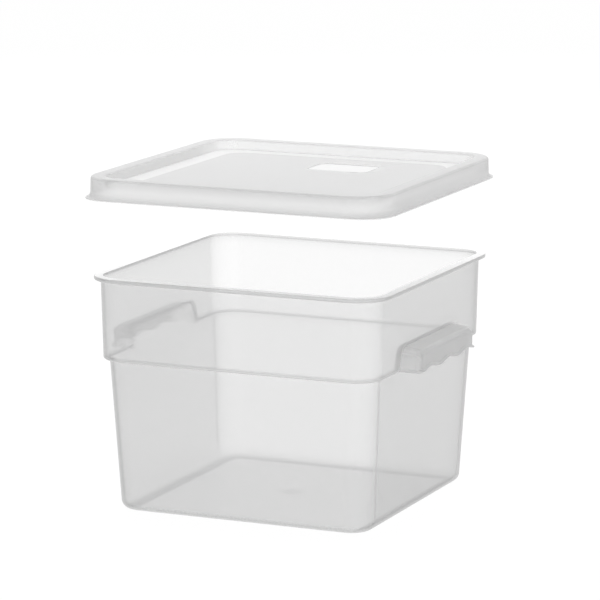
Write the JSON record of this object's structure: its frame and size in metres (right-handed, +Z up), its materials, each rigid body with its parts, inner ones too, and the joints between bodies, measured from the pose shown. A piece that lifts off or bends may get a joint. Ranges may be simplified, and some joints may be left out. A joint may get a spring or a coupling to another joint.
{
  "type": "food storage box",
  "caption": "Square translucent storage box for food, with a stepped collar, a moulded finger grip on two opposite sides and a press-on lid with a stacking well.",
  "frame": {"origin": "middle of the base, in the plane of the standing foot", "axes": "+Z up out of the mouth, X across the two grips, Y along the grips"},
  "size_m": [0.308, 0.2948, 0.3048],
  "materials": {
    "container": "natural translucent polypropylene, satin to semi-gloss, frosted",
    "lid": "natural translucent polypropylene, matt panel, smooth gutter and label field"
  },
  "bodies": {
    "container": {"container": "container"},
    "lid": {"lid": "lid"}
  },
  "joints": [
    {"name": "lid_lift", "type": "slide", "parent": "container", "child": "lid", "axis": [0, 0, 1], "range_m": [-0.0878, 0.035]}
  ]
}
